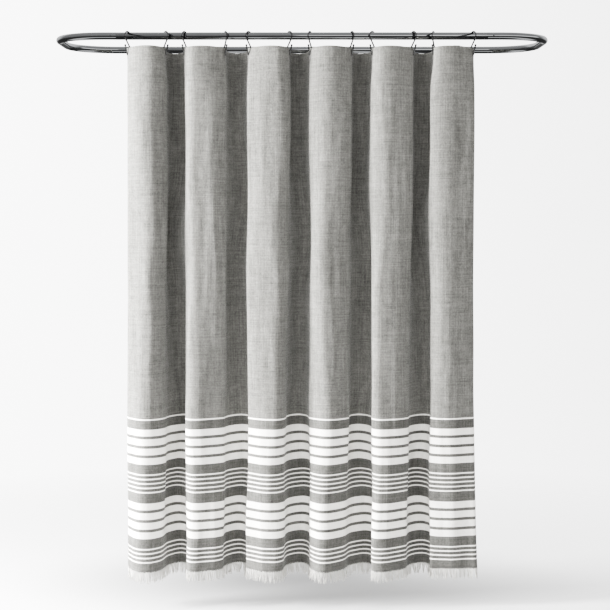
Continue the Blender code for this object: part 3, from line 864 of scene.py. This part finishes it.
def wrinkles(flats, depths):
    """Slight waves of the cloth, drawn out down its length, and finer creases between them."""
    u, v = np.meshgrid(flats, depths)
    soft = np.zeros_like(u)
    fine = np.zeros_like(u)
    for _ in range(SOFT_WAVES):
        across, down = generator.uniform(5.0, 14.0), generator.uniform(-1.1, 1.1)
        phase = generator.uniform(0.0, FULL_TURN)
        soft += np.sin(FULL_TURN * (across * u + down * v) + phase + 1.3 * np.sin(2.1 * v + phase))
    for _ in range(FINE_CREASES):
        across, down = generator.uniform(16.0, 42.0), generator.uniform(-3.5, 3.5)
        phase = generator.uniform(0.0, FULL_TURN)
        patch = np.sin(FULL_TURN * (generator.uniform(1.0, 3.0) * u + generator.uniform(0.5, 2.0) * v) + phase)
        fine += np.sin(FULL_TURN * (across * u + down * v) + 2.0 * phase) * (0.5 + 0.5 * patch)
    growth = ease((v - 0.03) / 0.30)
    soft_height = WRINKLE_HEIGHT / math.sqrt(SOFT_WAVES / 2.0)
    fine_height = CREASE_HEIGHT / math.sqrt(FINE_CREASES / 2.0)
    return (soft * soft_height + fine * fine_height) * growth


class Drape:
    """The hanging cloth as a grid of points over flat distance and depth."""

    def __init__(self):
        self.flats = grid_columns()
        self.depths = grid_rows()
        fine_flats, fine_x, fine_y = fold_lines(self.depths)
        x = np.array([np.interp(self.flats, fine_flats, row) for row in fine_x])
        y = np.array([np.interp(self.flats, fine_flats, row) for row in fine_y])
        z = FRONT_TOP_Z - self.depths[:, None] + edge_offset(self.flats, self.depths)
        fall = np.clip((self.depths - HEADER_DEPTH) / (CLOTH_LENGTH - HEADER_DEPTH), 0.0, 1.0)
        z = z + FOLD_RISE * (y - y.min(axis=1, keepdims=True)) * (fall ** 2)[:, None]
        self.points = np.stack([x, y, z], axis=-1)
        self.facing = self.normals()
        self.points = self.points + self.facing * wrinkles(self.flats, self.depths)[:, :, None]
        self.facing = self.normals()

    def normals(self):
        """Unit vectors that face the front of the cloth."""
        across = np.gradient(self.points, axis=1)
        down = np.gradient(self.points, axis=0)
        return unit(np.cross(down, across))

    def sample(self, field, flats, depths):
        """A field of the grid at the given flat distances and depths."""
        column = np.clip(np.searchsorted(self.flats, flats) - 1, 0, len(self.flats) - 2)
        row = np.clip(np.searchsorted(self.depths, depths) - 1, 0, len(self.depths) - 2)
        a = (flats - self.flats[column]) / (self.flats[column + 1] - self.flats[column])
        b = (depths - self.depths[row]) / (self.depths[row + 1] - self.depths[row])
        a, b = a[..., None], b[..., None]
        upper = field[row, column] * (1.0 - a) + field[row, column + 1] * a
        lower = field[row + 1, column] * (1.0 - a) + field[row + 1, column + 1] * a
        return upper * (1.0 - b) + lower * b

    def at(self, flats, depths, lift=0.0):
        """Points on the cloth, lifted off its middle towards the front."""
        flats, depths = np.broadcast_arrays(np.asarray(flats, float), np.asarray(depths, float))
        lift = np.broadcast_to(np.asarray(lift, float), flats.shape)
        return self.sample(self.points, flats, depths) + self.sample(self.facing, flats, depths) * lift[..., None]


drape = Drape()


# ---- cloth pieces

def slot_half_width(depths):
    """Half the width of a buttonhole: round over the wire, closing to a slit below it."""
    share = np.clip((depths - SLOT_DEPTH) / SLOT_STRAIGHT, 0.0, 1.0)
    lower = SLOT_CLOSED + (SLOT_HALF_WIDTH - SLOT_CLOSED) * (1.0 - share) ** 4.0
    above = np.clip(SLOT_DEPTH - depths, 0.0, SLOT_HALF_WIDTH)
    return np.where(depths < SLOT_DEPTH, np.sqrt(SLOT_HALF_WIDTH ** 2 - above ** 2), lower)


def nearest_hole(flats):
    return FLAP + HOLE_SPACING * np.round((flats - FLAP) / HOLE_SPACING)


def in_slot(flat, depth):
    """True inside the upright box round a buttonhole slot."""
    return abs(flat - nearest_hole(flat)) < SLOT_HALF_WIDTH and SLOT_TOP < depth < SLOT_BOTTOM


def layer(name, flats, depths, lifts, thickness):
    """A sheet of cloth over part of the grid, with the buttonhole slots cut in it and a UV map in flat metres."""
    u, v = np.meshgrid(flats, depths)
    nearest = nearest_hole(u)
    beside = np.isclose(np.abs(u - nearest), SLOT_HALF_WIDTH)
    corner = beside & np.isclose(v, SLOT_TOP)
    shoulder = beside & np.isclose(v, SLOT_TOP + SLOT_CORNER)
    lower = beside & (v > SLOT_DEPTH - 1e-6) & (v < SLOT_BOTTOM + 1e-6)
    v = np.where(corner, SLOT_TOP + SLOT_CORNER, v)
    v = np.where(shoulder, (SLOT_TOP + SLOT_CORNER + SLOT_DEPTH) / 2.0, v)
    u = np.where(corner | shoulder | lower, nearest + np.sign(u - nearest) * slot_half_width(v), u)
    points = drape.at(u, v, lifts[:, None])
    columns = len(flats)
    faces = []
    for row in range(len(depths) - 1):
        depth = (depths[row] + depths[row + 1]) / 2.0
        for column in range(columns - 1):
            if depths[row] != depths[row + 1] and in_slot((flats[column] + flats[column + 1]) / 2.0, depth):
                continue
            first = row * columns + column
            faces.append((first, first + columns, first + columns + 1, first + 1))
    sheet = mesh_object(name, points, faces)
    uv_map = sheet.data.uv_layers.new(name="flat")
    loops = np.zeros(len(sheet.data.loops), dtype=np.int32)
    sheet.data.loops.foreach_get("vertex_index", loops)
    coordinates = np.stack([u.ravel()[loops], (CLOTH_LENGTH - v).ravel()[loops]], axis=1)
    uv_map.data.foreach_set("uv", coordinates.astype(np.float32).ravel())
    drop_loose(sheet)
    shell = sheet.modifiers.new("thickness", "SOLIDIFY")
    shell.thickness = thickness
    shell.offset = 0.0
    return sheet


def cloth_piece(item, look, *nodes):
    """A piece that rides on the curtain: parented to the curtain's body, with a mesh of its own."""
    finish_piece(item, look, "curtain", *nodes)
    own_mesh(item)
    return item


def build_cloth():
    rows = drape.depths
    flat = layer("curtain_cloth", drape.flats, rows, np.zeros(len(rows)), CLOTH_THICKNESS)
    main = cloth_piece(flat, CLOTH, "curtain_panel")
    header_rows = rows[rows <= HEADER_DEPTH + 1e-6]
    lifts = np.full(len(header_rows), -LAYER_STEP)
    lifts[0] = -LAYER_STEP * 0.3
    flat = layer("header_fold", drape.flats, header_rows, lifts, HEM_THICKNESS)
    folds = [cloth_piece(flat, CLOTH, "header_hem")]
    side_rows = np.concatenate([[HEADER_DEPTH + 0.0005], rows[rows > HEADER_DEPTH + 1e-6]])
    lifts = np.full(len(side_rows), -LAYER_STEP)
    for side_name, left_edge in (("left", 0.0), ("right", FLAT_WIDTH - SIDE_HEM)):
        columns = np.linspace(left_edge, left_edge + SIDE_HEM, SIDE_HEM_COLUMNS)
        flat = layer(f"side_fold_{side_name}", columns, side_rows, lifts, HEM_THICKNESS)
        folds.append(cloth_piece(flat, CLOTH, f"side_hem_{side_name}"))
    return main, folds


def stitch_rows(name, starts, ends):
    """A row of short rounded stitches on the front of the cloth, between pairs of (flat, depth)."""
    share = np.array([0.0, 0.12, 0.5, 0.88, 1.0])
    lift = CLOTH_THICKNESS / 2.0 + TOPSTITCH_RADIUS * np.array([-0.6, 0.5, 0.9, 0.5, -0.6])
    radii = TOPSTITCH_RADIUS * np.array([0.5, 0.95, 1.1, 0.95, 0.5])
    flats = starts[:, :1] + (ends - starts)[:, :1] * share
    depths = starts[:, 1:] + (ends - starts)[:, 1:] * share
    row = tubes(name, drape.at(flats, depths, lift), radii, STITCH_SIDES, (0.13, -0.97, 0.2))
    return cloth_piece(row, THREAD)


def build_topstitching():
    first, last = HEADER_STITCH_ENDS
    flats = np.arange(first, FLAT_WIDTH - last, TOPSTITCH_PITCH)
    starts = np.stack([flats, np.full_like(flats, HEADER_STITCH_DEPTH)], axis=1)
    pieces = [stitch_rows("header_topstitch", starts, starts + (TOPSTITCH_LENGTH, 0.0))]
    depths = np.arange(HEADER_STITCH_DEPTH + SIDE_STITCH_END, CLOTH_LENGTH - SIDE_STITCH_END, TOPSTITCH_PITCH)
    for side_name, flat in (("left", SIDE_STITCH_INSET), ("right", FLAT_WIDTH - SIDE_STITCH_INSET)):
        starts = np.stack([np.full_like(depths, flat), depths], axis=1)
        pieces.append(stitch_rows(f"side_topstitch_{side_name}", starts, starts + (0.0, TOPSTITCH_LENGTH)))
    return pieces


def slot_line(count):
    """Points round a slot in (aside, depth), evenly spaced, with the directions that point out of the slot."""
    angles = np.linspace(0.0, math.pi, 40)
    over = np.stack([SLOT_HALF_WIDTH * np.cos(angles), SLOT_DEPTH - SLOT_HALF_WIDTH * np.sin(angles)], axis=1)
    down = np.linspace(SLOT_DEPTH, SLOT_BOTTOM, 60)
    side = np.stack([slot_half_width(down), down], axis=1)
    outline = np.concatenate([side[::-1], over[1:], side[1:] * np.array([-1.0, 1.0]), side[-1:]])
    way = np.concatenate([[0.0], np.cumsum(np.linalg.norm(np.diff(outline, axis=0), axis=1))])
    stops = way[-1] * (np.arange(count) + 0.5) / count
    points, ahead = (
        np.stack([np.interp(stops + shift, way, outline[:, axis]) for axis in (0, 1)], axis=1)
        for shift in (0.0, 0.0002)
    )
    along = unit(ahead - points)
    return points, np.stack([-along[:, 1], along[:, 0]], axis=1)


def build_buttonholes():
    """Satin stitches wrapped round the edge of each slot, front and back."""
    outline, outward = slot_line(BUTTONHOLE_STITCHES)
    along = np.stack([-outward[:, 1], outward[:, 0]], axis=1)
    front = CLOTH_THICKNESS / 2.0
    back = -LAYER_STEP - CLOTH_THICKNESS / 2.0
    middle = (front + back) / 2.0
    swell = BUTTONHOLE_STITCH_RADIUS
    reach = BUTTONHOLE_STITCH_REACH
    outs = np.array([reach, reach * 0.9, reach * 0.4, 0.0, -swell * 0.6, 0.0, reach * 0.4, reach * 0.9, reach])
    lifts = np.array([front - swell, front + swell * 0.4, front + swell * 0.5, front + swell * 0.3, middle])
    lifts = np.concatenate([lifts, [back - swell * 0.3, back - swell * 0.5, back - swell * 0.4, back + swell]])
    pieces = []
    for index, node in enumerate(BUTTONHOLE_NAMES):
        flat = FLAP + HOLE_SPACING * index
        flats = flat + outline[:, :1] + outward[:, :1] * outs
        depths = outline[:, 1:] + outward[:, 1:] * outs
        paths = drape.at(flats, depths, lifts)
        base = drape.at(flat + outline[:, 0], outline[:, 1])
        ahead = drape.at(flat + outline[:, 0] + along[:, 0] * 0.001, outline[:, 1] + along[:, 1] * 0.001)
        ring = tubes(f"worked_{node}", paths, swell, STITCH_SIDES, unit(ahead - base))
        pieces.append(cloth_piece(ring, THREAD, node))
    return pieces


def build_fringe():
    """Loose warp yarns below the hem, gathered in small tufts."""
    flats = np.linspace(0.0012, FLAT_WIDTH - 0.0012, STRANDS) + generator.normal(0.0, 0.0005, STRANDS)
    flats = np.clip(flats, 0.0010, FLAT_WIDTH - 0.0010)
    tuft = np.floor(flats / TUFT_WIDTH + 0.25 * np.sin(flats * 90.0))
    lengths = generator.uniform(*STRAND_LENGTHS, STRANDS)
    roots = drape.at(flats, CLOTH_LENGTH - 0.003, generator.uniform(-0.0003, 0.0003, STRANDS))
    along = drape.at(flats + 0.001, CLOTH_LENGTH) - drape.at(flats - 0.001, CLOTH_LENGTH)
    along = unit(along * np.array([1.0, 1.0, 0.0]))
    across = np.stack([-along[:, 1], along[:, 0], np.zeros(STRANDS)], axis=1)
    pull = np.zeros(STRANDS)
    lean = np.zeros((STRANDS, 2))
    for number in np.unique(tuft):
        member = tuft == number
        pull[member] = (flats[member].mean() - flats[member]) * generator.uniform(0.30, 0.80)
        lean[member] = generator.normal(0.0, STRAND_LEAN, 2)
        lengths[member] *= generator.uniform(0.93, 1.04)
    lean = lean + generator.normal(0.0, STRAND_LEAN * 0.75, (STRANDS, 2))
    t = np.linspace(0.0, 1.0, STRAND_POINTS)
    wave = generator.uniform(0.0, FULL_TURN, (STRANDS, 1))
    curl = 0.0007 * np.sin(wave + 7.0 * t) * t
    aside = (pull + lean[:, 0])[:, None] * t ** 1.6 + curl
    outwards = lean[:, 1:] * t ** 1.5 + 0.0007 * np.cos(wave + 6.0 * t) * t
    paths = roots[:, None, :] + along[:, None, :] * aside[:, :, None] + across[:, None, :] * outwards[:, :, None]
    paths[:, :, 2] -= (lengths + 0.003)[:, None] * t
    radii = STRAND_RADIUS * generator.uniform(0.8, 1.15, (STRANDS, 1))
    radii = radii * np.array([0.9, 1.0, 1.0, 1.0, 1.05, 0.95, 0.45])
    fringe = tubes("yarn_fringe", paths, radii, STRAND_SIDES, (0.0, 1.0, 0.0))
    return cloth_piece(fringe, WHITE_YARN_WITH_PAINTED_SHADE, "fringe")


# ---- camera, lights and stage

def build_camera():
    camera = add_object("camera", bpy.data.cameras.new("camera"))
    camera.data.lens = LENS
    camera.data.shift_y = SHIFT_Y
    camera.location = (CAMERA_X, FRONT_RUN_Y - CAMERA_DISTANCE, CAMERA_Z)
    camera.rotation_euler = (math.radians(90.0 - CAMERA_PITCH), 0.0, 0.0)
    bpy.context.scene.camera = camera


# The key light: its place and what it points at (both from the front run), width, height and power
KEY_PLACE = (-3.35, -0.87, -0.75)
KEY_TARGET = (0.0, 0.01, -1.0)
KEY_SIZE = (0.8, 2.4)
KEY_POWER = 480.0
# The floor, and the shadow painted into its colour under the loop: its reach each way and how far behind the front
# run it is
FLOOR_Z = -1.955
FLOOR_RADIUS = 3.2
# The floor's colours: the painted shadow's dark core, then the pale floor
PAINTED_SHADOW_AND_FLOOR_COLORS = (0.26, 0.86)
PAINTED_SHADOW_HALF_SIZE = (0.80, 0.48)
PAINTED_SHADOW_BACK = 0.42
PAINTED_SHADOW_EDGE = 1.5
# Brightness of the soft light and of the visible backdrop, at the left and at the right
AMBIENT = (1.75, 0.75)
BACKDROP = (2.25, 1.6)
# Brighter walls that metal reflects: the gain, then for each axis of the direction where it starts and is full
BRIGHT_WALLS = (
    (2.4, ("X", -0.11, -0.02), ("Y", 0.3, 0.1), ("Z", -0.03, 0.08), ("Z", 0.38, 0.24)),
    (1.3, ("Y", 0.4, 0.7), ("Z", -0.22, -0.06)),
)
# What metal reflects, as (elevation in degrees, level)
REFLECTED = (
    (-90.0, 0.04), (-66.0, 0.06), (-58.0, 0.60), (-44.0, 0.60), (-34.0, 0.07), (-8.0, 0.09), (2.0, 0.25), (90.0, 0.36)
)


def build_key_light():
    """A tall soft light at the left, which metal doesn't mirror."""
    light = bpy.data.lights.new("key", "AREA")
    light.shape = "RECTANGLE"
    light.size, light.size_y = KEY_SIZE
    light.energy = KEY_POWER
    item = add_object("key", light)
    item.location = Vector((0.0, FRONT_RUN_Y, 0.0)) + Vector(KEY_PLACE)
    item.rotation_euler = (Vector(KEY_TARGET) - Vector(KEY_PLACE)).to_track_quat("-Z", "Y").to_euler()
    item.visible_glossy = False


def build_world():
    """Soft studio light, brighter on the left; grey walls and a bright strip of floor for the metal to reflect;
    and an almost white backdrop behind the object."""
    world = bpy.data.worlds.new("studio")
    bpy.context.scene.world = world
    n = Nodes(world)
    n.tree.nodes.remove(n.tree.nodes["Background"])
    direction = n.add("SeparateXYZ", n.add("TexCoord").outputs["Generated"]).outputs

    def surroundings(strength, color=(1.0, 1.0, 1.0, 1.0)):
        return n.add("Background", color, strength).outputs[0]

    soft = surroundings(n.remap(direction["X"], -1.0, 1.0, *AMBIENT))
    shown = surroundings(n.remap(direction["X"], -0.2, 0.2, *BACKDROP))
    ramp = n.add("ValToRGB", n.remap(direction["Z"], -1.0, 1.0, 0.0, 1.0))
    stops = ramp.color_ramp.elements
    while len(stops) < len(REFLECTED):
        stops.new(0.5)
    for stop, (elevation, level) in zip(stops, REFLECTED):
        stop.position = (math.sin(math.radians(elevation)) + 1.0) / 2.0
        stop.color = (level, level, level, 1.0)
    strength = 1.0
    for gain, *edges in BRIGHT_WALLS:
        wall = gain
        for axis, low, high in edges:
            wall = n.math("MULTIPLY", wall, n.remap(direction[axis], low, high, 0.0, 1.0))
        strength = n.math("ADD", strength, wall)
    reflected = surroundings(strength, ramp.outputs[0])

    path = n.add("LightPath")

    def by_ray(kind, others, chosen):
        return n.add("MixShader", path.outputs[kind], others, chosen).outputs[0]

    shader = by_ray("Is Camera Ray", by_ray("Is Glossy Ray", soft, reflected), shown)
    n.link(shader, n.tree.nodes["World Output"].inputs[0])


def build_floor():
    """A pale floor that fades into the backdrop, with a shadow painted into its colour: a dark soft oval under the
    loop.
    """
    floor = turned("floor", [(0.0, 0.0), (FLOOR_RADIUS, 0.0)], False, 96)
    floor.location = (0.0, FRONT_RUN_Y, FLOOR_Z)
    n = Nodes(bpy.data.materials.new("pale_floor_painted_shadow"))
    position = n.add("TexCoord").outputs["Object"]

    def distance(scale=(1.0, 1.0, 1.0), shift=(0.0, 0.0, 0.0)):
        moved = n.add("VectorMath", position, scale, shift, operation="MULTIPLY_ADD").outputs[0]
        return n.add("VectorMath", moved, operation="LENGTH").outputs["Value"]

    # Painted shadow: the floor's colour darkens from the pale floor to a dark core in a soft oval under the loop
    half_x, half_y = PAINTED_SHADOW_HALF_SIZE
    painted_shadow_oval = distance((1.0 / half_x, 1.0 / half_y, 0.0), (0.0, -PAINTED_SHADOW_BACK / half_y, 0.0))
    shade = n.remap(painted_shadow_oval, 0.0, PAINTED_SHADOW_EDGE, 0.0, 1.0)
    shade.node.interpolation_type = "SMOOTHSTEP"
    n.set(Roughness=0.8, Base_Color=n.mix(shade, *((level,) * 3 for level in PAINTED_SHADOW_AND_FLOOR_COLORS)))
    fade = n.remap(distance(), 1.0, FLOOR_RADIUS * 0.97, 0.0, 1.0)
    mix = n.add("MixShader", fade, n.shader.outputs[0], n.add("BsdfTransparent").outputs[0])
    n.link(mix.outputs[0], n.tree.nodes["Material Output"].inputs[0])
    floor.data.materials.append(n.owner)
    floor.visible_glossy = False


build_rail()
for support_side in ("left", "right"):
    build_support(support_side)
for node_name, node_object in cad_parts.items():
    if node_name.startswith("rail_sleeve"):
        node_object.data.materials.clear()
        node_object.data.materials.append(STEEL[0])
build_hooks()
cloth, folds = build_cloth()
stitching = build_topstitching()
worked_holes = build_buttonholes()
fringe_piece = build_fringe()
build_camera()
build_world()
build_key_light()
build_floor()
view = bpy.context.scene.view_settings
view.view_transform = "AgX"
view.look = "AgX - Very High Contrast"
view.exposure = 0.0
